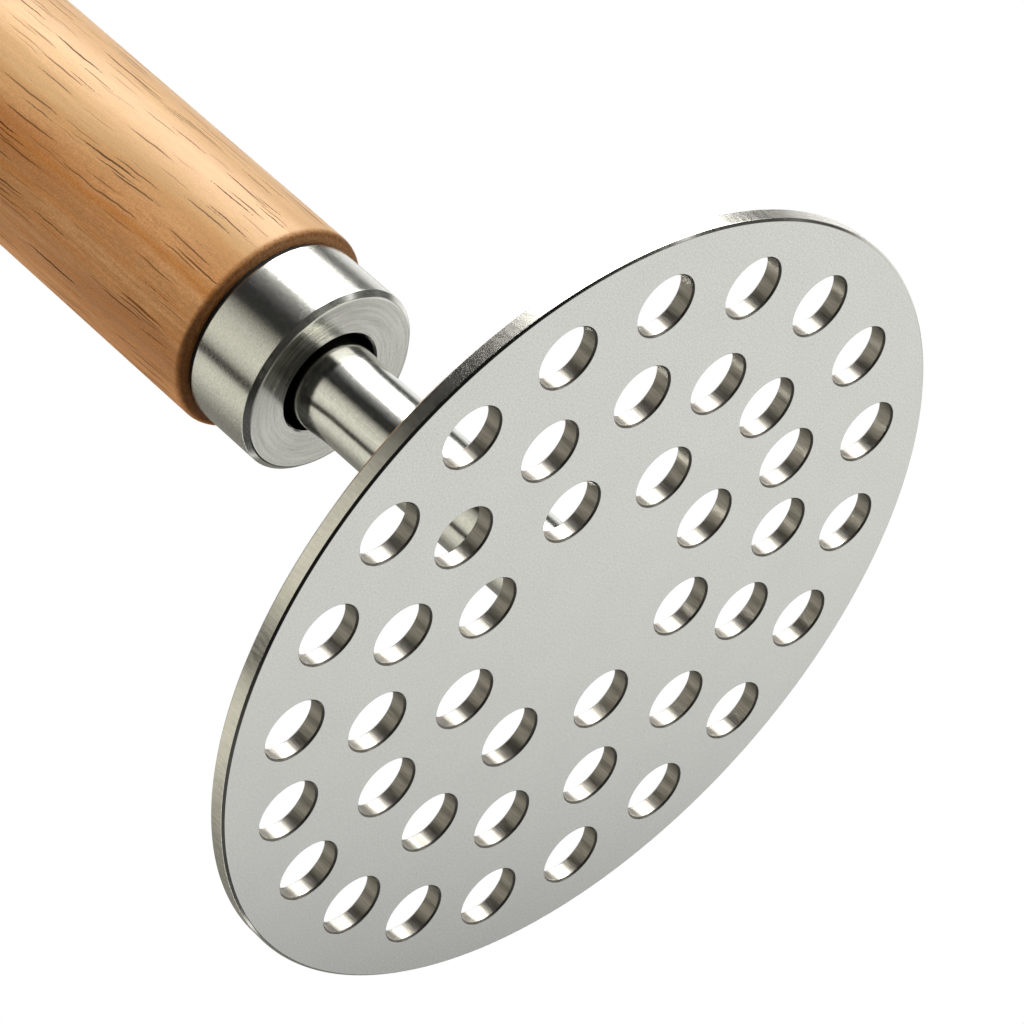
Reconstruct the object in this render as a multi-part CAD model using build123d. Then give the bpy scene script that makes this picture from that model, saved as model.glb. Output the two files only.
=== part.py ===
from build123d import *
from math import asin, cos, floor, pi, radians, sin, tan
import os

# Potato masher: a perforated plate, a turned stem, a ferrule and a wooden handle on one axis.
# All lengths are millimetres. The origin is the middle of the plate's underside, where the
# masher stands, and +Z runs up the stem and the handle.

# Plate
plate_diameter = 90.0
plate_thickness = 2.0
plate_edge_round = 0.25
hole_diameter = 6.8
hole_bevel = 0.2
rim_land = 4.4                  # metal left between the outer holes and the rim
ring_land = 4.05                # metal left between one ring of holes and the next
centre_land = 3.0               # least metal left between the inner holes and the weld

# One entry for each ring of holes, from the rim inwards. The holes of a ring stand a little
# closer on one side than on the other, and crowding says by how many degrees they are shifted.
hole_lands = [4.8, 4.1, 5.0]                 # least metal between neighbours, evenly spaced
first_hole_degrees = [-78.9, -72.3, -67.5]  # angle of the ring's first hole from +X
crowding_degrees = [3.65, -2.5, -0.6]       # once round the ring
pair_crowding_degrees = [0.0, 2.1, 1.4]     # twice round the ring
pair_crowding_start = 115.0                 # angle where the second shift is zero

# Stem
stem_diameter = 9.6
stem_reach = 37.5               # from the plate's top to the ferrule's face
stem_flare = 0.28               # growth in radius where the stem enters the ferrule
stem_flare_height = 5.5
stem_wall = 1.75                # metal left round the tapped hole
stem_top_chamfer = 0.3
weld_leg = 1.1                  # width and height of the weld at the stem's foot
drill_point_degrees = 118.0

# Ferrule
mouth_gap = 0.82                # ring-shaped gap between stem and ferrule
mouth_depth = 4.5
ferrule_floor = 2.0
ferrule_cup_depth = 2.5
ferrule_wall = 2.4              # round the cup
ferrule_chamfer = 0.6
ferrule_back_round = 0.25
mouth_bevel = 0.2
stud_passage_gap = 0.3          # radial gap where the stud passes the ferrule's floor

# Washer between ferrule and wood
washer_thickness = 0.5
washer_inset = 0.3              # how far the washer's rim lies inside the ferrule's

# Stud and insert
stud_in_stem = 11.0
stud_chamfer = 0.6
tapped_spare = 1.5              # drilled depth beyond the stud's end
insert_length = 16.0
insert_wall = 1.7
insert_barb_depth = 0.4
insert_barb_pitch = 1.6
insert_lead = 0.8               # plain end that enters the wood first
insert_flange_width = 1.1
insert_flange_thickness = 0.8
insert_end_gap = 1.5            # from the stud's end to the insert's end
pilot_spare = 2.0               # drilled depth in the wood beyond the insert

# Handle
handle_length = 191.0           # from the washer to the tip
handle_overhang = 1.1           # how far the wood's radius stands out from the ferrule's
front_round_height = 0.85
front_round_drop = 0.6
handle_dome_height = 8.0
dome_corner_share = 0.62        # radius of the dome's corner, as a share of the dome's height
spigot_wall = 3.6               # wood round the insert, inside the ferrule's cup
spigot_end_gap = 0.2

# Fits
snug_gap = 0.05                 # radial gap of pieces that are pressed, welded or screwed together
spigot_gap = 0.1                # radial gap of the wooden spigot in the ferrule's cup
cut_overrun = 1.0

# Radii, worked out from the stem outwards
stem_radius = stem_diameter / 2
head_radius = stem_radius + stem_flare
weld_inner_radius = stem_radius + snug_gap
weld_outer_radius = weld_inner_radius + weld_leg
tapped_radius = stem_radius - stem_wall
stud_radius = tapped_radius - snug_gap
insert_radius = tapped_radius + insert_wall
insert_bore_radius = insert_radius + snug_gap
flange_radius = insert_radius + insert_flange_width
flange_seat_radius = flange_radius + snug_gap
spigot_radius = insert_bore_radius + spigot_wall
cup_radius = spigot_radius + spigot_gap
ferrule_radius = cup_radius + ferrule_wall
mouth_radius = head_radius + mouth_gap
passage_radius = stud_radius + stud_passage_gap
handle_radius = ferrule_radius + handle_overhang

# Heights, worked out from the plate upwards
plate_top = plate_thickness
ferrule_face = plate_top + stem_reach
floor_bottom = ferrule_face + mouth_depth
floor_top = floor_bottom + ferrule_floor
ferrule_back = floor_top + ferrule_cup_depth
handle_shoulder = ferrule_back + washer_thickness
spigot_end = floor_top + spigot_end_gap
insert_top = spigot_end + insert_length
stud_bottom = floor_bottom - stud_in_stem
stud_top = insert_top - insert_end_gap
handle_tip = handle_shoulder + handle_length


def turned(*edges):
    # A closed outline of radius and height, turned once round the axis.
    outline = Curve() + list(edges)
    return revolve(make_face(Plane.XZ * outline), Axis.Z)


def drill_cone(radius):
    # Height of the cone that a drill leaves at the bottom of its hole.
    return radius / tan(radians(drill_point_degrees / 2))


def hole_places():
    # Rings are laid from the rim inwards until the next one would reach the weld's land.
    places = []
    hole_radius = hole_diameter / 2
    ring_radius = plate_diameter / 2 - rim_land - hole_radius
    ring = 0
    while ring_radius - hole_radius > weld_outer_radius + centre_land:
        style = min(ring, len(hole_lands) - 1)
        spacing = hole_diameter + hole_lands[style]
        count = floor(pi / asin(min(spacing / (2 * ring_radius), 1)))
        for number in range(count):
            even = first_hole_degrees[style] + 360 * number / count
            once = crowding_degrees[style] * sin(radians(even))
            twice = pair_crowding_degrees[style] * sin(radians(2 * (even - pair_crowding_start)))
            angle = radians(even + once + twice)
            places.append((ring_radius * cos(angle), ring_radius * sin(angle)))
        ring_radius -= hole_diameter + ring_land
        ring += 1
    return places


def make_mashing_plate():
    blank = extrude(Circle(plate_diameter / 2), plate_thickness)
    blank = fillet(blank.edges(), plate_edge_round)
    bevel_radius = hole_diameter / 2 + hole_bevel
    cutter = turned(
        Polyline(
            (0, -cut_overrun),
            (bevel_radius + cut_overrun, -cut_overrun),
            (hole_diameter / 2, hole_bevel),
            (hole_diameter / 2, plate_thickness - hole_bevel),
            (bevel_radius + cut_overrun, plate_thickness + cut_overrun),
            (0, plate_thickness + cut_overrun),
            close=True,
        )
    )
    return blank - [Pos(x, y) * cutter for x, y in hole_places()]


def make_stem_weld():
    # A hollow-throated fillet between the stem's side and the plate's top.
    toe = (weld_outer_radius, plate_top)
    crown = (weld_inner_radius, plate_top + weld_leg)
    return turned(
        Line((weld_inner_radius, plate_top), toe),
        RadiusArc(toe, crown, -weld_leg),
        Line(crown, (weld_inner_radius, plate_top)),
    )


def make_stem():
    # A solid rod, drilled and tapped from its upper end.
    tapped_bottom = stud_bottom - tapped_spare
    flare_start = (stem_radius, ferrule_face - stem_flare_height)
    flare_middle = (stem_radius + stem_flare / 2, ferrule_face - stem_flare_height / 2)
    flare_end = (head_radius, ferrule_face)
    return turned(
        Polyline((0, plate_top), (stem_radius, plate_top), flare_start),
        TangentArc(flare_start, flare_middle, tangent=(0, 1)),
        TangentArc(flare_end, flare_middle, tangent=(0, -1)),
        Polyline(
            flare_end,
            (head_radius, floor_bottom - stem_top_chamfer),
            (head_radius - stem_top_chamfer, floor_bottom),
            (tapped_radius, floor_bottom),
            (tapped_radius, tapped_bottom),
            (0, tapped_bottom - drill_cone(tapped_radius)),
            (0, plate_top),
        ),
    )


def make_ferrule():
    back_arc_start = (ferrule_radius, ferrule_back - ferrule_back_round)
    back_arc_end = (ferrule_radius - ferrule_back_round, ferrule_back)
    return turned(
        Polyline(
            (mouth_radius + mouth_bevel, ferrule_face),
            (ferrule_radius - ferrule_chamfer, ferrule_face),
            (ferrule_radius, ferrule_face + ferrule_chamfer),
            back_arc_start,
        ),
        RadiusArc(back_arc_start, back_arc_end, -ferrule_back_round),
        Polyline(
            back_arc_end,
            (cup_radius, ferrule_back),
            (cup_radius, floor_top),
            (passage_radius, floor_top),
            (passage_radius, floor_bottom),
            (mouth_radius, floor_bottom),
            (mouth_radius, ferrule_face + mouth_bevel),
            (mouth_radius + mouth_bevel, ferrule_face),
        ),
    )


def make_seal_washer():
    ring = Circle(ferrule_radius - washer_inset) - Circle(cup_radius)
    return Pos(0, 0, ferrule_back) * extrude(ring, washer_thickness)


def make_tie_stud():
    return turned(
        Polyline(
            (0, stud_bottom),
            (stud_radius - stud_chamfer, stud_bottom),
            (stud_radius, stud_bottom + stud_chamfer),
            (stud_radius, stud_top - stud_chamfer),
            (stud_radius - stud_chamfer, stud_top),
            (0, stud_top),
            close=True,
        )
    )


def make_threaded_insert():
    # The flange lies flush with the spigot's end, and the barbs point back towards it.
    root_radius = insert_radius - insert_barb_depth
    barb_start = spigot_end + insert_flange_thickness
    barb_room = insert_length - insert_flange_thickness - insert_lead
    barbs = []
    for number in range(floor(barb_room / insert_barb_pitch)):
        low = barb_start + number * insert_barb_pitch
        barbs += [(insert_radius, low), (root_radius, low + insert_barb_pitch)]
    return turned(
        Polyline(
            (tapped_radius, spigot_end),
            (flange_radius, spigot_end),
            (flange_radius, barb_start),
            *barbs,
            (root_radius, insert_top),
            (tapped_radius, insert_top),
            close=True,
        )
    )


def dome_joint():
    # Where the dome's tight corner runs into its flatter crown, both tangent there.
    corner_radius = handle_dome_height * dome_corner_share
    reach = handle_radius - corner_radius
    rise = handle_dome_height - corner_radius
    crown_radius = (reach**2 + handle_dome_height**2 - corner_radius**2) / (2 * rise)
    crown_share = crown_radius / (crown_radius - corner_radius)
    crown_centre = handle_tip - crown_radius
    corner_centre = handle_tip - handle_dome_height
    return (reach * crown_share, crown_centre + (corner_centre - crown_centre) * crown_share)


def make_handle():
    pilot_top = insert_top + pilot_spare
    seat_top = spigot_end + insert_flange_thickness + snug_gap
    round_top = handle_shoulder + front_round_height
    face_radius = handle_radius - front_round_drop
    dome_start = handle_tip - handle_dome_height
    return turned(
        Polyline(
            (0, pilot_top + drill_cone(insert_bore_radius)),
            (insert_bore_radius, pilot_top),
            (insert_bore_radius, seat_top),
            (flange_seat_radius, seat_top),
            (flange_seat_radius, spigot_end),
            (spigot_radius, spigot_end),
            (spigot_radius, handle_shoulder),
            (face_radius, handle_shoulder),
        ),
        TangentArc((handle_radius, round_top), (face_radius, handle_shoulder), tangent=(0, -1)),
        Line((handle_radius, round_top), (handle_radius, dome_start)),
        TangentArc((handle_radius, dome_start), dome_joint(), tangent=(0, 1)),
        TangentArc((0, handle_tip), dome_joint(), tangent=(1, 0)),
        Line((0, handle_tip), (0, pilot_top + drill_cone(insert_bore_radius))),
    )


pieces = {
    "mashing_plate": make_mashing_plate(),
    "stem_weld": make_stem_weld(),
    "stem": make_stem(),
    "ferrule": make_ferrule(),
    "seal_washer": make_seal_washer(),
    "tie_stud": make_tie_stud(),
    "threaded_insert": make_threaded_insert(),
    "handle": make_handle(),
}

os.makedirs("parts", exist_ok=True)
for name, piece in pieces.items():
    export_step(piece, "parts/" + name + ".step")
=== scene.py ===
import math

import bpy
import numpy as np
from mathutils import Matrix, Vector
from mathutils.geometry import delaunay_2d_cdt


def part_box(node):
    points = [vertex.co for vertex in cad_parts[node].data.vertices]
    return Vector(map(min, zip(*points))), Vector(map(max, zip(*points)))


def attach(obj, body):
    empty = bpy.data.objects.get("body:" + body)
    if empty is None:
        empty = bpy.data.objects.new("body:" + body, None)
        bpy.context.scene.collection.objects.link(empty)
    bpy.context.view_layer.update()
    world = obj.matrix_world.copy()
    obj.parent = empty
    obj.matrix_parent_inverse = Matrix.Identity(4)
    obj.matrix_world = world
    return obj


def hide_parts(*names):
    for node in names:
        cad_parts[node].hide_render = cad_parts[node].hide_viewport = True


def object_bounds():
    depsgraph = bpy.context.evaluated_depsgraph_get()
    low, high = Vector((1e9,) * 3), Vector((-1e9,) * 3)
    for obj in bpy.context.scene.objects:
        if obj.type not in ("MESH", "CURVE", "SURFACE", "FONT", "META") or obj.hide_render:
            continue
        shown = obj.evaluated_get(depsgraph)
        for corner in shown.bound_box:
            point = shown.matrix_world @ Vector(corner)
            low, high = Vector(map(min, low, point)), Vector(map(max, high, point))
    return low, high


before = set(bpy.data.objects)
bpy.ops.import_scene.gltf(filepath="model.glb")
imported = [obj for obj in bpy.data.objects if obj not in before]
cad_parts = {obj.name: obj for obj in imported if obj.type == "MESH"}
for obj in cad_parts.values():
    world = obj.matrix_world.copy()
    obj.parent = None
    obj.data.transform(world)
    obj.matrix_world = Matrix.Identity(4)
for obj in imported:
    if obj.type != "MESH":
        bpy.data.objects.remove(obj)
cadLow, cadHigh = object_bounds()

mm = 0.001
print("frame loaded:", ", ".join(sorted(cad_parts)))


# camera
cameraValues = {
    "place": (0.0, -0.48351, -0.27347),
    "right": (0.66173, 0.38031, -0.64612),
    "up": (0.74973, -0.34041, 0.56748),
    "forward": (0.00412, 0.85993, 0.51039),
    "lens": 200.489,
    "sensor": 36.0,
    "clip": (0.01, 50.0),
}

cameraData = bpy.data.cameras.new("photoCamera")
cameraData.lens = cameraValues["lens"]
cameraData.sensor_width = cameraValues["sensor"]
cameraData.clip_start, cameraData.clip_end = cameraValues["clip"]
camera = bpy.data.objects.new("photoCamera", cameraData)
bpy.context.scene.collection.objects.link(camera)
turn = Matrix((cameraValues["right"], cameraValues["up"], -Vector(cameraValues["forward"]))).transposed()
camera.matrix_world = Matrix.Translation(cameraValues["place"]) @ turn.to_4x4()
bpy.context.scene.camera = camera
bpy.context.scene.view_settings.view_transform = "Standard"
print("camera set")


# node helpers
def wire(tree, source, target):
    # a number, colour or vector is set on the socket, and an output is linked to it
    if isinstance(source, bpy.types.NodeSocket):
        tree.links.new(source, target)
    else:
        target.default_value = source


def calc(tree, operation, *values):
    node = tree.nodes.new("ShaderNodeMath")
    node.operation = operation
    for number, value in enumerate(values):
        wire(tree, value, node.inputs[number])
    return node.outputs[0]


def vectorCalc(tree, operation, *values):
    node = tree.nodes.new("ShaderNodeVectorMath")
    node.operation = operation
    for number, value in enumerate(values):
        wire(tree, value, node.inputs[number])
    return node.outputs["Value" if operation in ("DOT_PRODUCT", "LENGTH") else "Vector"]


def scaled(tree, vector, factor):
    node = tree.nodes.new("ShaderNodeVectorMath")
    node.operation = "SCALE"
    wire(tree, vector, node.inputs[0])
    wire(tree, factor, node.inputs["Scale"])
    return node.outputs["Vector"]


def smoothRange(tree, value, low, high, outLow=0.0, outHigh=1.0, kind="SMOOTHSTEP"):
    node = tree.nodes.new("ShaderNodeMapRange")
    node.interpolation_type = kind
    wire(tree, value, node.inputs["Value"])
    wire(tree, low, node.inputs["From Min"])
    wire(tree, high, node.inputs["From Max"])
    wire(tree, outLow, node.inputs["To Min"])
    wire(tree, outHigh, node.inputs["To Max"])
    return node.outputs["Result"]


def between(tree, value, start, full, fade, end):
    # 1 from full to fade, and 0 before start and after end
    rise = smoothRange(tree, value, start, full)
    fall = smoothRange(tree, value, fade, end, 1.0, 0.0)
    return calc(tree, "MULTIPLY", rise, fall)


def mixValue(tree, share, first, second):
    node = tree.nodes.new("ShaderNodeMix")
    node.data_type = "FLOAT"
    wire(tree, share, node.inputs[0])
    wire(tree, first, node.inputs[2])
    wire(tree, second, node.inputs[3])
    return node.outputs[0]


def mixColour(tree, share, first, second, blend="MIX"):
    node = tree.nodes.new("ShaderNodeMix")
    node.data_type = "RGBA"
    node.blend_type = blend
    wire(tree, share, node.inputs[0])
    wire(tree, first, node.inputs[6])
    wire(tree, second, node.inputs[7])
    return node.outputs[2]


noiseSpan = (0.3, 0.7)  # nearly all values of a noise texture lie in here


def noise(tree, vector, scale, detail, rough=0.5):
    node = tree.nodes.new("ShaderNodeTexNoise")
    wire(tree, vector, node.inputs["Vector"])
    wire(tree, scale, node.inputs["Scale"])
    wire(tree, detail, node.inputs["Detail"])
    wire(tree, rough, node.inputs["Roughness"])
    return node.outputs["Fac"]


def splitVector(tree, vector):
    node = tree.nodes.new("ShaderNodeSeparateXYZ")
    wire(tree, vector, node.inputs[0])
    return node.outputs


def joinVector(tree, x, y, z):
    node = tree.nodes.new("ShaderNodeCombineXYZ")
    for number, value in enumerate((x, y, z)):
        wire(tree, value, node.inputs[number])
    return node.outputs[0]


def newGroup(name, inputs, outputs):
    group = bpy.data.node_groups.new(name, "ShaderNodeTree")
    for label, value in inputs:
        kind = "NodeSocketVector" if isinstance(value, tuple) else "NodeSocketFloat"
        socket = group.interface.new_socket(label, in_out="INPUT", socket_type=kind)
        socket.default_value = value
    for label in outputs:
        group.interface.new_socket(label, in_out="OUTPUT", socket_type="NodeSocketFloat")
    return group, group.nodes.new("NodeGroupInput").outputs, group.nodes.new("NodeGroupOutput").inputs


def useGroup(tree, group, **values):
    node = tree.nodes.new("ShaderNodeGroup")
    node.node_tree = group
    for label, value in values.items():
        wire(tree, value, node.inputs[label])
    return node.outputs


def circlePoints(steps):
    turns = [2 * math.pi * i / steps for i in range(steps)]
    return [(math.cos(turn), math.sin(turn)) for turn in turns]


# studio
# The world is a light tent that steel mirrors by direction alone. A change is given by where it
# starts and ends, in parts of the direction, and then the values there if they aren't 0 and 1.
# A patch of light comes in between its first two numbers and goes out between its last two.
studioValues = {
    # what polished steel sees round the horizon: degrees from -Y towards +X, and brightness
    "bands": (
        (-180, 0.26), (-130, 0.26), (-107, 0.56), (-99, 0.76), (-88, 0.88), (-76, 0.88), (-72, 0.78),
        (-68, 0.05), (-60, 0.05), (-55, 0.56), (-46, 0.86), (-36, 0.97), (-16, 0.76), (-6, 0.44),
        (4, 0.035), (22, 0.035), (31, 0.15), (39, 0.33), (48, 0.75), (54, 4.0), (58, 13.0), (74, 13.0),
        (86, 13.0), (95, 9.0), (101, 2.8), (107, 0.8), (115, 0.08), (126, 0.10), (142, 0.95),
        (160, 1.15), (173, 0.28),
    ),
    "bandPeak": 13.0,
    "bandTints": ((1.0, 0.976, 0.86, 1.0), (1.0, 1.0, 0.985, 1.0)),  # from the left and from the right
    "tintTurn": (-0.1, 0.35),
    "bandTop": (0.60, 0.72),
    "bandFoot": (-0.02, -0.16),
    # overhead it is dark on the camera's side and bright behind
    "overhead": (0.02, 1.0),
    "overheadTurn": (-0.12, 0.12),
    "overheadAcross": (-0.30, 0.45, 0.35, 2.2),
    # below: black in front, dim behind and paler deep down
    "below": (0.012, 0.10, 0.45),
    "belowTurn": (-0.25, 0.10),
    "belowDeep": (-0.66, -0.80),
    # a wide pale card that the plate's underside mirrors
    "card": 0.99,
    "cardAcross": (0.66, 0.38, 0.646),
    "cardAlong": (0.75, -0.34, -0.567),
    "cardRise": (-0.055, 0.07, 0.965, 1.04),
    "cardSlope": (0.585, -0.435, -0.7285),
    "cardEdge": (-0.099, -0.062),
    "cardTop": (-0.01, 0.05, 1.0, 0.955),
    "cardBehind": (0.45, 0.65),
    "cardHeight": (-0.76, -0.66, -0.34, -0.24),
    # a bright strip along the horizon on the left, which only rounded edges catch: its turn is in
    # full turns, with 0.5 at -Y
    "strip": 2.6,
    "stripTurn": (0.10, 0.12, 0.23, 0.25),
    "stripHeight": (-0.12, -0.06, 0.06, 0.14),
    # a bright patch low on the right, with its turn given in the same way
    "sideGlow": 3.0,
    "sideGlowTurn": (0.62, 0.645, 0.765, 0.775),
    "sideGlowFoot": (-0.575, -0.545),
    # plain soft light for matt surfaces, a little stronger from above
    "soft": (-0.1, 0.9, 0.05, 0.14),
    "floorColours": ((0.86, 0.86, 0.85, 1.0), (0.88, 0.88, 0.87, 1.0)),
    "floorMottle": 60.0,
    "floorRadius": 6.0,
    "floorSteps": 96,
    "floorDrop": 0.05 * mm,
    "floorFade": (0.22, 0.75),
}


def makeWorld():
    v = studioValues
    world = bpy.data.worlds.new("studio")
    bpy.context.scene.world = world
    world.use_nodes = True
    world.cycles.sampling_method = "NONE"
    tree = world.node_tree
    tree.nodes.clear()
    way = tree.nodes.new("ShaderNodeTexCoord").outputs["Generated"]
    x, y, z = splitVector(tree, way)
    # soft boxes and flags standing round the object
    angle = calc(tree, "ARCTAN2", x, calc(tree, "MULTIPLY", y, -1.0))
    place = calc(tree, "MULTIPLY_ADD", angle, 0.5 / math.pi, 0.5)
    ramp = tree.nodes.new("ShaderNodeValToRGB")
    wire(tree, place, ramp.inputs[0])
    stops = ramp.color_ramp.elements
    for number, (degrees, level) in enumerate(v["bands"]):
        position = degrees / 360 + 0.5
        stop = stops[number] if number < 2 else stops.new(position)
        stop.position = position
        share = level / v["bandPeak"]
        stop.color = (share, share, share, 1.0)
    around = scaled(tree, ramp.outputs["Color"], v["bandPeak"])
    tint = mixColour(tree, smoothRange(tree, x, *v["tintTurn"]), *v["bandTints"])
    around = mixColour(tree, 1.0, around, tint, "MULTIPLY")
    over = smoothRange(tree, y, *v["overheadTurn"], *v["overhead"])
    over = calc(tree, "MULTIPLY", over, smoothRange(tree, x, *v["overheadAcross"]))
    level = mixColour(tree, smoothRange(tree, z, *v["bandTop"]), around, over)
    # the ground half
    front, behind, deep = v["below"]
    behind = smoothRange(tree, z, *v["belowDeep"], behind, deep)
    low = smoothRange(tree, y, *v["belowTurn"], front, behind)
    slope = vectorCalc(tree, "DOT_PRODUCT", way, v["cardSlope"])
    card = smoothRange(tree, slope, *v["cardEdge"], 0.0, v["card"])
    for direction, change in (("cardAcross", "cardRise"), ("cardAlong", "cardTop")):
        reach = vectorCalc(tree, "DOT_PRODUCT", way, v[direction])
        card = calc(tree, "MULTIPLY", card, smoothRange(tree, reach, *v[change], "LINEAR"))
    inside = smoothRange(tree, y, *v["cardBehind"])
    inside = calc(tree, "MULTIPLY", inside, between(tree, z, *v["cardHeight"]))
    low = mixValue(tree, inside, low, card)
    beside = between(tree, place, *v["sideGlowTurn"])
    beside = calc(tree, "MULTIPLY", beside, smoothRange(tree, z, *v["sideGlowFoot"]))
    low = mixValue(tree, beside, low, v["sideGlow"])
    level = mixColour(tree, smoothRange(tree, z, *v["bandFoot"]), level, low)
    strip = between(tree, z, *v["stripHeight"])
    strip = calc(tree, "MULTIPLY", strip, between(tree, place, *v["stripTurn"]))
    level = mixColour(tree, strip, level, (v["strip"],) * 3 + (1.0,))
    # only glossy rays see the studio
    soft = smoothRange(tree, z, *v["soft"])
    path = tree.nodes.new("ShaderNodeLightPath").outputs
    level = mixColour(tree, path["Is Glossy Ray"], soft, level)
    seen = calc(tree, "MAXIMUM", path["Is Camera Ray"], path["Is Transmission Ray"])
    level = mixColour(tree, seen, level, (1.0, 1.0, 1.0, 1.0))
    background = tree.nodes.new("ShaderNodeBackground")
    wire(tree, level, background.inputs["Color"])
    output = tree.nodes.new("ShaderNodeOutputWorld")
    wire(tree, background.outputs[0], output.inputs["Surface"])


# degrees from -Y towards +X, height in degrees, distance and size in metres, power in watts
lampValues = {
    "key": {"degrees": 38, "height": 30, "distance": 1.2, "size": 0.3, "power": 16.5},
    "side": {"degrees": -108, "height": 20, "distance": 1.2, "size": 0.3, "power": 13.0},
    "back": {"degrees": 180, "height": 35, "distance": 1.2, "size": 0.6, "power": 8.0},
}


def makeLamps():
    middle = (cadLow + cadHigh) / 2
    for name, values in lampValues.items():
        data = bpy.data.lights.new(name, "AREA")
        data.shape = "DISK"
        data.size = values["size"]
        data.energy = values["power"]
        lamp = bpy.data.objects.new(name, data)
        bpy.context.scene.collection.objects.link(lamp)
        around, above = math.radians(values["degrees"]), math.radians(values["height"])
        out = math.cos(above)
        way = Vector((math.sin(around) * out, -math.cos(around) * out, math.sin(above)))
        lamp.location = middle + way * values["distance"]
        lamp.rotation_euler = way.to_track_quat("Z", "Y").to_euler()
        lamp.visible_glossy = False  # steel mirrors the studio round it and not the lamps
        lamp.visible_camera = False


def makeFloor():
    v = studioValues
    radius = v["floorRadius"]
    rim = [(radius * c, radius * s, 0) for c, s in circlePoints(v["floorSteps"])]
    mesh = bpy.data.meshes.new("floor")
    mesh.from_pydata(rim, [], [list(range(len(rim)))])
    floor = bpy.data.objects.new("floor", mesh)
    floor.location = (0, 0, -v["floorDrop"])
    bpy.context.scene.collection.objects.link(floor)
    floor.visible_diffuse = floor.visible_glossy = False
    floor.visible_transmission = floor.visible_shadow = False
    material = bpy.data.materials.new("paleFloor")
    material.use_nodes = True
    tree = material.node_tree
    tree.nodes.clear()
    where = tree.nodes.new("ShaderNodeTexCoord").outputs["Object"]
    mottle = noise(tree, where, v["floorMottle"], 3.0)
    colour = mixColour(tree, smoothRange(tree, mottle, *noiseSpan), *v["floorColours"])
    matt = tree.nodes.new("ShaderNodeBsdfDiffuse")
    wire(tree, colour, matt.inputs["Color"])
    white = tree.nodes.new("ShaderNodeEmission")
    fade = tree.nodes.new("ShaderNodeMixShader")
    away = smoothRange(tree, vectorCalc(tree, "LENGTH", where), *v["floorFade"])
    wire(tree, away, fade.inputs[0])
    wire(tree, matt.outputs[0], fade.inputs[1])
    wire(tree, white.outputs[0], fade.inputs[2])
    # seen from below the floor is clear
    below = tree.nodes.new("ShaderNodeMixShader")
    wire(tree, tree.nodes.new("ShaderNodeNewGeometry").outputs["Backfacing"], below.inputs[0])
    wire(tree, fade.outputs[0], below.inputs[1])
    wire(tree, tree.nodes.new("ShaderNodeBsdfTransparent").outputs[0], below.inputs[2])
    wire(tree, below.outputs[0], tree.nodes.new("ShaderNodeOutputMaterial").inputs["Surface"])
    mesh.materials.append(material)


makeWorld()
makeLamps()
makeFloor()
print("studio made")


# turned meshes
# An outline is a list of spans, each with its points (radius, height), the normals there and
# the number of its finish. It runs anticlockwise, so that the metal lies on its left.
def straight(start, end, finish=0, longest=8.0):
    # cut into equal pieces no longer than longest, in millimetres
    start, end = np.array(start, float), np.array(end, float)
    along = end - start
    length = float(np.hypot(*along))
    count = max(1, math.ceil(length / longest))
    points = [start + along * i / count for i in range(count + 1)]
    normal = np.array((along[1], -along[0])) / length
    return (points, [normal] * (count + 1), finish)


def arc(centre, radius, start, end, count):
    points, normals = [], []
    for i in range(count + 1):
        angle = math.radians(start + (end - start) * i / count)
        out = np.array((math.cos(angle), math.sin(angle)))
        points.append(np.array(centre, float) + radius * out)
        normals.append(out)
    return (points, normals, 0)


def hollowArc(centre, radius, start, end, count):
    # an arc with the metal outside it
    points, normals, finish = arc(centre, radius, start, end, count)
    return (points, [-normal for normal in normals], finish)


def bendRadius(shift, height):
    # radius of the arc that starts upright and has moved sideways by shift at this height
    return (shift**2 + height**2) / (2 * shift)


def cornered(corners, closed=True, count=4):
    # corners are (radius, height, rounding, finish of the span that follows),
    # and without the last two they are sharp and have finish 0
    corners = [tuple(corner) + (0.0, 0)[len(corner) - 2:] for corner in corners]
    corners = [(np.array(corner[:2], float), *corner[2:]) for corner in corners]
    total = len(corners)
    marks = []
    for i, (place, rounding, finish) in enumerate(corners):
        ends = not closed and i in (0, total - 1)
        if ends or rounding <= 0:
            marks.append((place, place, None))
            continue
        before = corners[i - 1][0] - place
        after = corners[(i + 1) % total][0] - place
        before, after = before / np.hypot(*before), after / np.hypot(*after)
        half = math.acos(max(-1.0, min(1.0, float(before @ after)))) / 2
        reach = rounding / math.tan(half)
        first = np.array((-before[1], before[0]))
        second = np.array((after[1], -after[0]))
        hollow = float(before[0] * after[1] - before[1] * after[0]) > 0
        side = -1.0 if hollow else 1.0
        centre = place + before * reach - side * rounding * first
        startAngle = math.atan2(first[1], first[0])
        sweep = (math.atan2(second[1], second[0]) - startAngle + math.pi) % (2 * math.pi) - math.pi
        points, normals = [], []
        for k in range(count + 1):
            angle = startAngle + sweep * k / count
            out = np.array((math.cos(angle), math.sin(angle)))
            points.append(centre + side * rounding * out)
            normals.append(out)
        marks.append((points[0], points[-1], (points, normals, finish)))
    spans = []
    for i in range(total if closed else total - 1):
        follow = (i + 1) % total
        spans.append(straight(marks[i][1], marks[follow][0], corners[i][2]))
        if marks[follow][2] is not None:
            spans.append(marks[follow][2])
    return spans


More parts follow.
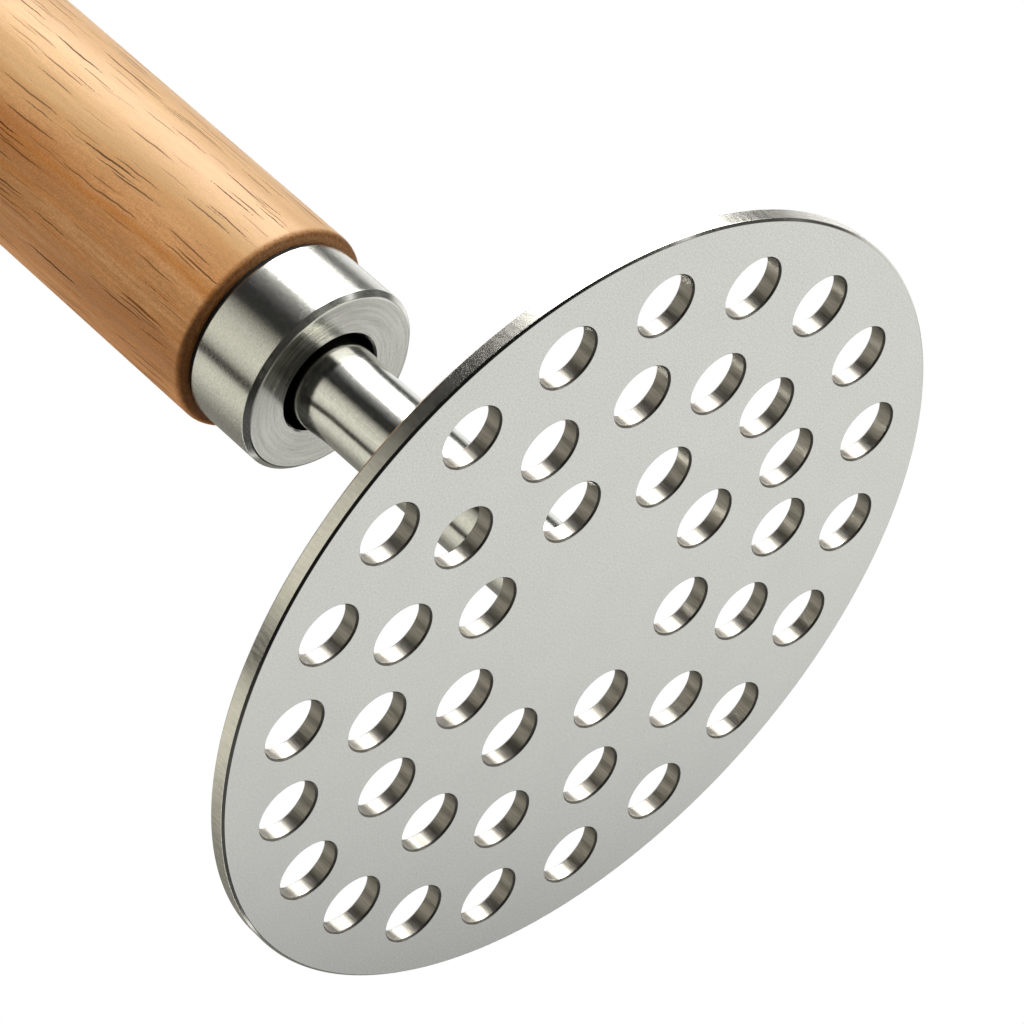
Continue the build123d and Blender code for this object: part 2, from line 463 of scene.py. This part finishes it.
class Shape:
    # gathers faces with the exact normal at every corner, and shares the points they have in common
    def __init__(self):
        self.points, self.places = [], {}
        self.faces, self.normals, self.finishes = [], [], []

    def point(self, x, y, z):
        key = (round(x, 5), round(y, 5), round(z, 5))
        if key not in self.places:
            self.places[key] = len(self.points)
            self.points.append((x * mm, y * mm, z * mm))
        return self.places[key]

    def face(self, corners, normals, finish):
        kept = [i for i, c in enumerate(corners) if c != corners[i - 1]]
        if len(kept) > 2:
            self.faces.append([corners[i] for i in kept])
            self.normals.extend(normals[i] for i in kept)
            self.finishes.append(finish)

    def turned(self, spans, steps, centre=(0.0, 0.0), wobble=None):
        circle = circlePoints(steps)
        for points, normals, finish in spans:
            rings, ways = [], []
            for (radius, height), (out, up) in zip(points, normals):
                ring = []
                for number, (c, s) in enumerate(circle):
                    r, z = (radius, height) if wobble is None else wobble(radius, height, number / steps)
                    ring.append(self.point(centre[0] + r * c, centre[1] + r * s, z))
                rings.append(ring)
                ways.append([(out * c, out * s, up) for c, s in circle])
            for i in range(len(rings) - 1):
                for j in range(steps):
                    k = (j + 1) % steps
                    self.face(
                        (rings[i][j], rings[i][k], rings[i + 1][k], rings[i + 1][j]),
                        (ways[i][j], ways[i][k], ways[i + 1][k], ways[i + 1][j]),
                        finish,
                    )

    def flat(self, loops, height, up, finish):
        # a flat face between an outer loop and the holes in it
        coords, edges = [], []
        for loop in loops:
            first = len(coords)
            coords += [Vector(p) for p in loop]
            edges += [(first + i, first + (i + 1) % len(loop)) for i in range(len(loop))]
        made = delaunay_2d_cdt(coords, edges, [], 1, 1e-7)  # 1: triangles inside the outer loop
        centres = [(sum((Vector(p) for p in loop), Vector((0, 0))) / len(loop)) for loop in loops[1:]]
        reaches = [(Vector(loop[0]) - centre).length for loop, centre in zip(loops[1:], centres)]
        for triangle in made[2]:
            middle = sum((made[0][i] for i in triangle), Vector((0, 0))) / 3
            if any((middle - c).length < reach * 0.999 for c, reach in zip(centres, reaches)):
                continue  # it would close a hole
            corners = [self.point(made[0][i][0], made[0][i][1], height) for i in triangle]
            a, b, c = (made[0][i] for i in triangle)
            if ((b - a).cross(c - a) > 0) != (up > 0):
                corners.reverse()
            self.face(tuple(corners), ((0.0, 0.0, up),) * 3, finish)

    def build(self, name, materials, nodes, smooth=False):
        mesh = bpy.data.meshes.new(name)
        mesh.from_pydata(self.points, [], self.faces)
        for material in materials:
            mesh.materials.append(material)
        mesh.polygons.foreach_set("material_index", self.finishes)
        mesh.polygons.foreach_set("use_smooth", [True] * len(self.faces))
        if not smooth:
            mesh.normals_split_custom_set(self.normals)
        mesh.validate()
        piece = bpy.data.objects.new(name, mesh)
        bpy.context.scene.collection.objects.link(piece)
        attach(piece, "root")
        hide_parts(*nodes)
        return piece


# shared surface effects
def makeTurnedMarksGroup():
    # fine rings that a lathe or a polishing belt leaves round an axis
    tree, given, out = newGroup(
        "turnedMarks",
        [("Around", 6.0), ("Fineness", 9000.0), ("Detail", 3.0)],
        ["Marks"],
    )
    where = tree.nodes.new("ShaderNodeTexCoord").outputs["Object"]
    x, y, z = splitVector(tree, where)
    radius = vectorCalc(tree, "LENGTH", joinVector(tree, x, y, 0.0))
    safe = calc(tree, "MAXIMUM", radius, 1e-5)
    turnedX = calc(tree, "MULTIPLY", calc(tree, "DIVIDE", x, safe), given["Around"])
    turnedY = calc(tree, "MULTIPLY", calc(tree, "DIVIDE", y, safe), given["Around"])
    across = calc(tree, "MULTIPLY", calc(tree, "ADD", radius, z), given["Fineness"])
    marks = noise(tree, joinVector(tree, turnedX, turnedY, across), 1.0, given["Detail"], 0.6)
    wire(tree, marks, out["Marks"])
    return tree


def makeMetalGrainGroup():
    # the fine speckle of satin steel, and faint clouds in its tone
    tree, given, out = newGroup(
        "metalGrain",
        [("Strokes", (5200.0, 5200.0, 5200.0)), ("Clouds", 140.0)],
        ["Grain", "Cloud"],
    )
    where = tree.nodes.new("ShaderNodeTexCoord").outputs["Object"]
    grain = noise(tree, vectorCalc(tree, "MULTIPLY", where, given["Strokes"]), 1.0, 2.0, 0.6)
    wire(tree, grain, out["Grain"])
    wire(tree, noise(tree, where, given["Clouds"], 3.0, 0.55), out["Cloud"])
    return tree


turnedMarks = makeTurnedMarksGroup()
metalGrain = makeMetalGrainGroup()


def startMaterial(name):
    material = bpy.data.materials.new(name)
    material.use_nodes = True
    tree = material.node_tree
    tree.nodes.clear()
    shader = tree.nodes.new("ShaderNodeBsdfPrincipled")
    wire(tree, shader.outputs[0], tree.nodes.new("ShaderNodeOutputMaterial").inputs["Surface"])
    return material, tree, shader.inputs


def liftNormal(tree, height, distance):
    node = tree.nodes.new("ShaderNodeBump")
    wire(tree, height, node.inputs["Height"])
    node.inputs["Distance"].default_value = distance
    return node.outputs["Normal"]


# strokes: grain cells per metre each way; marks: rings round the axis as (round, across);
# tone and spread: how far the grain changes colour and roughness; lift: grain height in metres;
# gloss: how far it spreads across the rings
steelValues = {
    "plateFace": {
        "colour": (0.655, 0.660, 0.618), "rough": 0.17, "strokes": (4200.0, 4200.0, 4200.0),
        "tone": 0.28, "spread": 0.04, "lift": 0.0000003,
    },
    # the hole walls: the plate's steel darkened to about half as painted shade inside the holes; the
    # strokes run down the wall
    "holeWallShade": {
        "colour": (0.31, 0.29, 0.255), "rough": 0.36, "strokes": (7500.0, 7500.0, 500.0),
        "tone": 0.50, "spread": 0.03, "lift": 0.0000002,
    },
    "rimSide": {
        "colour": (0.69, 0.67, 0.61), "rough": 0.23, "strokes": (2600.0, 2600.0, 700.0),
        "tone": 0.22, "spread": 0.03, "lift": 0.0000001,
    },
    "rimEdge": {
        "colour": (0.60, 0.59, 0.54), "rough": 0.12, "strokes": (3000.0, 3000.0, 3000.0),
        "tone": 0.1, "spread": 0.03, "lift": 0.0000001,
    },
    "stem": {
        "colour": (0.66, 0.66, 0.615), "rough": 0.14, "strokes": (6500.0, 6500.0, 900.0),
        "marks": (8.0, 2600.0), "tone": 0.30, "spread": 0.04, "lift": 0.0000006,
    },
    "ferruleSide": {
        "colour": (0.66, 0.655, 0.605), "rough": 0.20, "strokes": (7000.0, 7000.0, 7000.0),
        "marks": (30.0, 8000.0), "gloss": 0.6, "tone": 0.60, "spread": 0.06, "lift": 0.0000022,
    },
    # the front face, which looks down at the plate: its steel is darker than the side's as painted shade;
    # its rings are turning marks
    "ferruleFaceShade": {
        "colour": (0.525, 0.52, 0.475), "rough": 0.22, "strokes": (7000.0, 7000.0, 7000.0),
        "marks": (1.3, 3000.0), "gloss": 0.5, "tone": 0.70, "spread": 0.06, "lift": 0.0000012,
    },
    "ferruleEdge": {
        "colour": (0.66, 0.66, 0.61), "rough": 0.18, "strokes": (7000.0, 7000.0, 7000.0),
        "tone": 0.06, "spread": 0.02, "lift": 0.0000002,
    },
    # inside the mouth and cup the steel is painted near-black: painted shade of the deep recess
    "mouthShade": {
        "colour": (0.03, 0.029, 0.026), "rough": 0.5, "strokes": (5000.0, 5000.0, 5000.0),
        "tone": 0.2, "spread": 0.1, "lift": 0.000002,
    },
}


# for every steel: share of the marks in the grain, range of the clouds, and turn of the gloss
steelCommon = {"marksShare": 0.6, "clouds": (0.985, 1.015), "glossTurn": 0.25}


def makeSteel(key):
    v = steelValues[key]
    material, tree, shader = startMaterial(key + "Steel")
    shader["Metallic"].default_value = 1.0
    grains = useGroup(tree, metalGrain, Strokes=v["strokes"])
    grain = grains["Grain"]
    if "marks" in v:
        around, fineness = v["marks"]
        marks = useGroup(tree, turnedMarks, Around=around, Fineness=fineness)["Marks"]
        grain = mixValue(tree, steelCommon["marksShare"], grain, marks)
    shade = smoothRange(tree, grain, *noiseSpan, 1 - v["tone"] / 2, 1 + v["tone"] / 2, "LINEAR")
    cloud = smoothRange(tree, grains["Cloud"], *noiseSpan, *steelCommon["clouds"], "LINEAR")
    wire(tree, scaled(tree, v["colour"], calc(tree, "MULTIPLY", shade, cloud)), shader["Base Color"])
    low, high = v["rough"] - v["spread"], v["rough"] + v["spread"]
    wire(tree, smoothRange(tree, grain, *noiseSpan, low, high, "LINEAR"), shader["Roughness"])
    wire(tree, liftNormal(tree, grain, v["lift"]), shader["Normal"])
    if "gloss" in v:
        shader["Anisotropic"].default_value = v["gloss"]
        shader["Anisotropic Rotation"].default_value = steelCommon["glossTurn"]
        tangent = tree.nodes.new("ShaderNodeTangent")
        tangent.direction_type = "RADIAL"
        tangent.axis = "Z"
        wire(tree, tangent.outputs[0], shader["Tangent"])
    return material


# weld, stud and insert: colour, roughness and the height of their spots in metres
dullValues = {
    "weldSteel": ((0.50, 0.49, 0.46, 1.0), 0.38, 0.00002),
    "studSteel": ((0.45, 0.45, 0.46, 1.0), 0.42, 0.00001),
    "insertBrass": ((0.78, 0.60, 0.28, 1.0), 0.33, 0.00001),
}
spotValues = {"scale": 1400.0, "darker": 0.8, "smoother": 0.08, "rougher": 0.1}


def makeDullMetal(name):
    colour, rough, lift = dullValues[name]
    v = spotValues
    material, tree, shader = startMaterial(name)
    where = tree.nodes.new("ShaderNodeTexCoord").outputs["Object"]
    spots = noise(tree, where, v["scale"], 4.0, 0.6)
    shader["Metallic"].default_value = 1.0
    darker = tuple(v["darker"] * c for c in colour[:3]) + (1.0,)
    wire(tree, mixColour(tree, smoothRange(tree, spots, 0.35, 0.7), colour, darker), shader["Base Color"])
    low, high = rough - v["smoother"], rough + v["rougher"]
    wire(tree, smoothRange(tree, spots, 0.2, 0.8, low, high, "LINEAR"), shader["Roughness"])
    wire(tree, liftNormal(tree, spots, lift), shader["Normal"])
    return material


# the seal washer between ferrule and wood is near-black rubber whose colour paints the dark shadow line
# of that seam
sealRubberShadeValues = {
    "colours": ((0.006, 0.006, 0.006, 1.0), (0.014, 0.013, 0.012, 1.0)),
    "rough": (0.62, 0.78),
    "grain": 2500.0,
    "lift": 0.000004,
}


def makeSealRubberShade():
    v = sealRubberShadeValues
    material, tree, shader = startMaterial("sealRubberShade")
    where = tree.nodes.new("ShaderNodeTexCoord").outputs["Object"]
    grain = noise(tree, where, v["grain"], 2.0, 0.6)
    wire(tree, mixColour(tree, grain, *v["colours"]), shader["Base Color"])
    wire(tree, smoothRange(tree, grain, *noiseSpan, *v["rough"], "LINEAR"), shader["Roughness"])
    wire(tree, liftNormal(tree, grain, v["lift"]), shader["Normal"])
    return material


woodValues = {
    "base": (0.60, 0.275, 0.090, 1.0),
    "pale": (0.72, 0.370, 0.155, 1.0),
    "dark": (0.46, 0.175, 0.046, 1.0),
    "orange": (0.60, 0.235, 0.056, 1.0),
    "pore": (0.055, 0.015, 0.004, 1.0),
    "end": (0.38, 0.135, 0.032, 1.0),
    # a painted highlight: the wood turns paler and yellower towards +X, the side the key lamp and the
    # bright soft box light; its colour, and how its share grows across the handle
    "paintedHighlight": (0.69, 0.52, 0.28, 1.0),
    "paintedHighlightAcross": (2.5 * mm, 7.5 * mm, 0.0, 0.45),
    # patterns: cells per metre across and along the grain, detail and roughness of the noise
    "fibre": (5600.0, 420.0, 2.0, 0.6),
    "streak": (1100.0, 26.0, 3.0, 0.55),
    "broad": (150.0, 18.0, 2.0, 0.5),
    # the same in all directions: cells per metre
    "speck": 5200.0,
    "endGrain": 3000.0,
    # where in each pattern its colour comes in, and its share there
    "streakTurn": (0.36, 0.64),
    "broadTurn": (0.42, 0.66, 0.0, 0.75),
    "fibreTurn": (0.43, 0.73, 0.0, 0.45),
    "endTurn": (0.35, 0.65, 0.45, 1.0),
    "speckTone": (0.80, 1.20),
    # how the grain winds round the handle, in radians per metre, and how it wanders:
    # cells per metre across and along, detail and angle in radians
    "slant": 2.9,
    "wander": (110.0, 42.0, 2.0, 0.16),
    "quiver": (320.0, 520.0, 1.0, 0.022),
    # growth rings: middle of the trunk in metres from the handle's axis, rings per metre, how they
    # lean along the handle, and where in each ring the late wood lies
    "ringMiddle": (-0.034, 0.021),
    "rings": 430.0,
    "ringLean": 0.03,
    "lateWood": (0.55, 0.93, 0.95, 1.0),
    "lateShare": 0.6,
    # pores: width of their cells in metres, length over width, reach as a share of a cell,
    # strength, and the share of cells that hold one
    "pores": ((0.00031, 42.0, 0.37, 1.0, 0.52), (0.00022, 56.0, 0.28, 0.7, 0.45)),
    # smallest and palest pore as a share of the largest and darkest, how frayed their edges are,
    # and the share of their own colour
    "poreSmallest": 0.6,
    "porePalest": 0.7,
    "poreFray": 0.2,
    "poreColour": 0.95,
    # end grain on the front rounding: heights over the shoulder between which it fades
    "endHeight": (0.1 * mm, 1.0 * mm),
    # roughness of the fibres, and how much rougher pores and end grain are
    "rough": (0.36, 0.48),
    "poreRough": 0.4,
    "endRough": 0.25,
    # height of the relief in metres, and the share of the fibres in it
    "relief": 0.000012,
    "fibreRelief": 0.3,
    "ior": 1.45,
}


def grainNoise(tree, vector, across, along, detail, rough=0.5):
    # noise with cells of another length along the grain than across it
    stretched = vectorCalc(tree, "MULTIPLY", vector, (across, across, along))
    return noise(tree, stretched, 1.0, detail, rough)


def addPores(tree, bent, speck):
    # short dark strokes along the grain, in two sizes
    v = woodValues
    fray = v["poreFray"]
    pores = 0.0
    for cell, stretch, reach, strength, share in v["pores"]:
        dots = tree.nodes.new("ShaderNodeTexVoronoi")
        dots.feature = "F1"
        cells = vectorCalc(tree, "MULTIPLY", bent, (1 / cell, 1 / cell, 1 / (cell * stretch)))
        wire(tree, cells, dots.inputs["Vector"])
        dots.inputs["Scale"].default_value = 1.0
        luck = splitVector(tree, dots.outputs["Color"])
        size = smoothRange(tree, luck[0], 0.0, 1.0, v["poreSmallest"] * reach, reach, "LINEAR")
        inside = calc(tree, "SUBTRACT", size, dots.outputs["Distance"])
        frayed = smoothRange(tree, speck, *noiseSpan, -fray * reach, fray * reach, "LINEAR")
        inside = calc(tree, "ADD", inside, frayed)
        depth = smoothRange(tree, luck[1], 0.0, 1.0, v["porePalest"] * strength, strength, "LINEAR")
        depth = calc(tree, "MULTIPLY", depth, calc(tree, "LESS_THAN", luck[2], share))
        mask = calc(tree, "MULTIPLY", smoothRange(tree, inside, 0.0, fray * reach), depth)
        pores = calc(tree, "MAXIMUM", pores, mask)
    return pores


def makeWood():
    v = woodValues
    material, tree, shader = startMaterial("handleWood")
    where = tree.nodes.new("ShaderNodeTexCoord").outputs["Object"]
    height = splitVector(tree, where)[2]
    # the grain winds a little round the handle and wanders on its way
    twist = calc(tree, "MULTIPLY", height, v["slant"])
    for across, along, detail, angle in (v["wander"], v["quiver"]):
        bend = grainNoise(tree, where, across, along, detail)
        twist = calc(tree, "MULTIPLY_ADD", bend, angle, twist)
    turn = tree.nodes.new("ShaderNodeVectorRotate")
    turn.rotation_type = "Z_AXIS"
    wire(tree, where, turn.inputs["Vector"])
    wire(tree, twist, turn.inputs["Angle"])
    bent = turn.outputs[0]
    # growth rings, whose middle lies outside the handle
    bentX, bentY = splitVector(tree, bent)[:2]
    ringX = calc(tree, "SUBTRACT", bentX, v["ringMiddle"][0])
    ringY = calc(tree, "SUBTRACT", bentY, v["ringMiddle"][1])
    rings = joinVector(tree, ringX, ringY, calc(tree, "MULTIPLY", height, v["ringLean"]))
    count = calc(tree, "MULTIPLY", vectorCalc(tree, "LENGTH", rings), v["rings"])
    late = between(tree, calc(tree, "FRACT", count), *v["lateWood"])
    # fibres and broad tone
    fibre, streak, broad = (grainNoise(tree, bent, *v[key]) for key in ("fibre", "streak", "broad"))
    colour = mixColour(tree, smoothRange(tree, streak, *v["streakTurn"]), v["base"], v["pale"])
    colour = mixColour(tree, smoothRange(tree, broad, *v["broadTurn"]), colour, v["dark"])
    colour = mixColour(tree, calc(tree, "MULTIPLY", late, v["lateShare"]), colour, v["orange"])
    colour = mixColour(tree, smoothRange(tree, fibre, *v["fibreTurn"]), colour, v["dark"])
    speck = noise(tree, where, v["speck"], 2.0, 0.7)
    colour = scaled(tree, colour, smoothRange(tree, speck, *noiseSpan, *v["speckTone"], "LINEAR"))
    # painted highlight: paler, yellower wood on the lit +X side
    colour = mixColour(tree, smoothRange(tree, bentX, *v["paintedHighlightAcross"]), colour, v["paintedHighlight"])
    pores = addPores(tree, bent, speck)
    colour = mixColour(tree, calc(tree, "MULTIPLY", pores, v["poreColour"]), colour, v["pore"])
    # end grain on the front rounding
    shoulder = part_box("seal_washer")[1].z
    startEnd, stopEnd = (shoulder + over for over in v["endHeight"])
    end = smoothRange(tree, height, startEnd, stopEnd, 1.0, 0.0)
    endGrain = noise(tree, where, v["endGrain"], 3.0, 0.7)
    end = calc(tree, "MULTIPLY", end, smoothRange(tree, endGrain, *v["endTurn"]))
    colour = mixColour(tree, end, colour, v["end"])
    wire(tree, colour, shader["Base Color"])
    rough = smoothRange(tree, fibre, 0.25, 0.75, *v["rough"], "LINEAR")
    rough = calc(tree, "ADD", rough, calc(tree, "MULTIPLY", pores, v["poreRough"]))
    wire(tree, calc(tree, "MULTIPLY_ADD", end, v["endRough"], rough), shader["Roughness"])
    shader["IOR"].default_value = v["ior"]
    relief = calc(tree, "SUBTRACT", calc(tree, "MULTIPLY", fibre, v["fibreRelief"]), pores)
    wire(tree, liftNormal(tree, relief, v["relief"]), shader["Normal"])
    return material


plateFaceSteel = makeSteel("plateFace")
holeWallShadeSteel = makeSteel("holeWallShade")
rimSideSteel = makeSteel("rimSide")
rimEdgeSteel = makeSteel("rimEdge")
stemSteel = makeSteel("stem")
ferruleSideSteel = makeSteel("ferruleSide")
ferruleFaceShadeSteel = makeSteel("ferruleFaceShade")
ferruleEdgeSteel = makeSteel("ferruleEdge")
mouthShadeSteel = makeSteel("mouthShade")
weldSteel = makeDullMetal("weldSteel")
studSteel = makeDullMetal("studSteel")
insertBrass = makeDullMetal("insertBrass")
sealRubberShade = makeSealRubberShade()
handleWood = makeWood()
print("materials made")


# plate; the lengths of all pieces are in millimetres
plateValues = {
    "edgeBevel": 0.25,
    "edgeRounding": 0.09,
    "edgeFlat": 0.4,
    "holeDiameter": 6.8,
    "holeBevel": 0.2,
    "holeRounding": 0.05,
    "holeFlat": 0.15,
    "rimLand": 4.4,
    "ringLand": 4.05,
    # for each ring from the rim inwards: least land, first angle, and how the holes crowd
    # once and twice round
    "rings": ((4.8, -78.9, 3.65, 0.0), (4.1, -72.3, -2.5, 2.1), (5.0, -67.5, -0.6, 1.4)),
    "crowdingStart": 115.0,
    "rimSteps": 384,
    "holeSteps": 72,
}


def holePlaces(outer):
    v = plateValues
    places = []
    ringRadius = outer - v["rimLand"] - v["holeDiameter"] / 2
    for land, first, once, twice in v["rings"]:
        count = math.floor(math.pi / math.asin((v["holeDiameter"] + land) / (2 * ringRadius)))
        for number in range(count):
            even = first + 360 * number / count
            shift = once * math.sin(math.radians(even))
            shift += twice * math.sin(math.radians(2 * (even - v["crowdingStart"])))
            angle = math.radians(even + shift)
            places.append((ringRadius * math.cos(angle), ringRadius * math.sin(angle)))
        ringRadius -= v["holeDiameter"] + v["ringLand"]
    return places


def makePlate():
    v = plateValues
    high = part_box("mashing_plate")[1]
    outer, top = high.x / mm, high.z / mm
    finishes = [plateFaceSteel, holeWallShadeSteel, rimSideSteel, rimEdgeSteel]
    # the hole walls take steel darkened as painted shade
    onFace, onWall, onSide, onEdge = range(4)
    shape = Shape()
    bevel, soft = v["edgeBevel"], v["edgeRounding"]
    rimFlat = outer - bevel - v["edgeFlat"]
    rim = cornered(
        [
            (rimFlat, 0.0), (outer - bevel, 0.0, soft, onEdge), (outer, bevel, soft, onSide),
            (outer, top - bevel, soft, onSide), (outer - bevel, top, soft), (rimFlat, top),
        ],
        closed=False,
    )
    shape.turned(rim, v["rimSteps"])
    hole, bevel, soft = v["holeDiameter"] / 2, v["holeBevel"], v["holeRounding"]
    holeFlat = hole + bevel + v["holeFlat"]
    wall = cornered(
        [
            (holeFlat, top), (hole + bevel, top, soft, onWall), (hole, top - bevel, soft, onWall),
            (hole, bevel, soft, onWall), (hole + bevel, 0.0, soft), (holeFlat, 0.0),
        ],
        closed=False, count=3,
    )
    places = holePlaces(outer)
    for place in places:
        shape.turned(wall, v["holeSteps"], place)
    # the flat faces meet rim and holes in the same points
    circles = [((0.0, 0.0), rimFlat, v["rimSteps"])]
    circles += [(place, holeFlat, v["holeSteps"]) for place in places]
    loops = []
    for (x, y), reach, steps in circles:
        loops.append([(x + reach * c, y + reach * s) for c, s in circlePoints(steps)])
    shape.flat(loops, top, 1.0, onFace)
    shape.flat(loops, 0.0, -1.0, onFace)
    return shape.build("plateDisc", finishes, ["mashing_plate"])


# weld, stem and ferrule
stemValues = {
    "radius": 4.8, "flare": 0.28, "flareHeight": 5.5, "face": 39.5, "topChamfer": 0.3,
    "tappedRadius": 3.05, "tappedBottom": 31.5, "drillCone": 1.83, "rounding": 0.05,
    "flareSteps": 10, "steps": 192,
}


def makeStem():
    low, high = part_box("stem")
    v = stemValues
    bottom, top, head = low.z / mm, high.z / mm, high.x / mm
    # two equal arcs bring the flare in and out without a corner
    half, rise = v["flare"] / 2, v["flareHeight"] / 2
    bend = bendRadius(half, rise)
    sweep = math.degrees(math.asin(rise / bend))
    flareStart = v["face"] - v["flareHeight"]
    lower = hollowArc((v["radius"] + bend, flareStart), bend, 180, 180 - sweep, v["flareSteps"])
    upper = arc((head - bend, v["face"]), bend, -sweep, 0, v["flareSteps"])
    foot = (v["radius"], bottom)
    spans = [straight((0, bottom), foot), straight(foot, (v["radius"], flareStart)), lower, upper]
    soft = v["rounding"]
    spans += cornered(
        [
            (head, v["face"]), (head, top - v["topChamfer"], soft), (head - v["topChamfer"], top, soft),
            (v["tappedRadius"], top, soft), (v["tappedRadius"], v["tappedBottom"]),
            (0.0, v["tappedBottom"] - v["drillCone"]),
        ],
        closed=False,
    )
    shape = Shape()
    shape.turned(spans, v["steps"])
    return shape.build("stemRod", [stemSteel], ["stem"])


weldValues = {
    "inner": 4.85, "leg": 1.1, "ripples": 46, "rippleDepth": 0.035, "rippleSlope": 0.7,
    "sharpAngle": 50, "hollowSteps": 10, "steps": 368,
}


def makeWeld():
    v = weldValues
    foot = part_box("stem_weld")[0].z / mm
    outer, head = v["inner"] + v["leg"], foot + v["leg"]

    def ripple(radius, height, share):
        # overlapping beads, deepest half way up the hollow
        depth = v["rippleDepth"] * abs(math.sin(math.pi * v["ripples"] * share))
        middle = math.sin(math.pi * min(1.0, max(0.0, (height - foot) / v["leg"])))
        push = depth * middle * v["rippleSlope"]
        return radius - push, height - push

    under = straight((v["inner"], foot), (outer, foot))
    hollow = hollowArc((outer, head), v["leg"], 270, 180, v["hollowSteps"])
    against = straight((v["inner"], head), (v["inner"], foot))
    shape = Shape()
    shape.turned([under, hollow, against], v["steps"], wobble=ripple)
    piece = shape.build("weldBead", [weldSteel], ["stem_weld"], smooth=True)
    piece.data.set_sharp_from_angle(angle=math.radians(v["sharpAngle"]))
    return piece


ferruleValues = {
    "chamfer": 0.6, "mouthRadius": 5.9, "mouthBevel": 0.2, "mouthTop": 44.0, "floorTop": 46.0,
    "cupRadius": 8.5, "passageRadius": 3.3, "backRound": 0.25, "edgeRounding": 0.12,
    "faceRounding": 0.35, "mouthRounding": (0.06, 0.04), "mouthCorner": 0.3, "cupRounding": 0.05,
    "steps": 256,
}


def makeFerrule():
    low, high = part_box("ferrule")
    v = ferruleValues
    face, back, outer = low.z / mm, high.z / mm, high.x / mm
    # the front face takes steel darkened as painted shade
    finishes = [ferruleSideSteel, ferruleFaceShadeSteel, mouthShadeSteel, ferruleEdgeSteel]
    # the faces in the mouth and cup take the near-black steel that paints the recess's shade
    onSide, onFace, inMouth, onEdge = range(4)
    faceSoft, wallSoft = v["mouthRounding"]
    spans = cornered(
        [
            (v["mouthRadius"] + v["mouthBevel"], face, faceSoft, onFace),
            (outer - v["chamfer"], face, v["faceRounding"], onEdge),
            (outer, face + v["chamfer"], v["edgeRounding"], onSide),
            (outer, back, v["backRound"], onSide),
            (v["cupRadius"], back, v["cupRounding"], inMouth),
            (v["cupRadius"], v["floorTop"], 0.0, inMouth),
            (v["passageRadius"], v["floorTop"], 0.0, inMouth),
            (v["passageRadius"], v["mouthTop"], 0.0, inMouth),
            (v["mouthRadius"], v["mouthTop"], v["mouthCorner"], inMouth),
            (v["mouthRadius"], face + v["mouthBevel"], wallSoft, onEdge),
        ]
    )
    shape = Shape()
    shape.turned(spans, v["steps"])
    return shape.build("ferruleRing", finishes, ["ferrule"])


# handle
handleValues = {
    "radius": 12.0, "faceRadius": 11.4, "roundHeight": 0.85, "domeHeight": 8.0, "domeCorner": 4.96,
    "spigotRadius": 8.4, "spigotRounding": 0.1, "seatRadius": 5.9, "seatTop": 47.05,
    "boreRadius": 4.8, "pilotTop": 64.2, "drillCone": 2.88,
    "roundSteps": 12, "cornerSteps": 20, "crownSteps": 16, "steps": 256,
}


def makeHandle():
    low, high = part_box("handle")
    v = handleValues
    outer, tip, spigotEnd = v["radius"], high.z / mm, low.z / mm
    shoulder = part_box("seal_washer")[1].z / mm
    drop = outer - v["faceRadius"]
    bend = bendRadius(drop, v["roundHeight"])
    sweep = math.degrees(math.asin(v["roundHeight"] / bend))
    roundTop = shoulder + v["roundHeight"]
    spans = cornered(
        [
            (0.0, v["pilotTop"] + v["drillCone"]), (v["boreRadius"], v["pilotTop"]),
            (v["boreRadius"], v["seatTop"]), (v["seatRadius"], v["seatTop"]),
            (v["seatRadius"], spigotEnd), (v["spigotRadius"], spigotEnd, v["spigotRounding"]),
            (v["spigotRadius"], shoulder), (v["faceRadius"], shoulder),
        ],
        closed=False,
    )
    spans.append(arc((outer - bend, roundTop), bend, -sweep, 0, v["roundSteps"]))
    domeStart = tip - v["domeHeight"]
    spans.append(straight((outer, roundTop), (outer, domeStart)))
    # tight corner, then a flatter crown, tangent where they meet
    reach, rise = outer - v["domeCorner"], v["domeHeight"] - v["domeCorner"]
    crown = (reach**2 + v["domeHeight"] ** 2 - v["domeCorner"] ** 2) / (2 * rise)
    meet = math.degrees(math.atan2(crown - v["domeHeight"], reach))
    spans.append(arc((reach, domeStart), v["domeCorner"], 0, meet, v["cornerSteps"]))
    spans.append(arc((0.0, tip - crown), crown, meet, 90, v["crownSteps"]))
    shape = Shape()
    shape.turned(spans, v["steps"])
    return shape.build("handleGrip", [handleWood], ["handle"])


makePlate()
makeStem()
makeWeld()
makeFerrule()
makeHandle()
# the seal washer's near-black colour is painted shade of the seam between ferrule and wood
hiddenPieces = (("seal_washer", sealRubberShade), ("tie_stud", studSteel), ("threaded_insert", insertBrass))
for node, material in hiddenPieces:
    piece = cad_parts[node]
    piece.data.materials.clear()
    piece.data.materials.append(material)
print("pieces made")

bpy.context.view_layer.update()
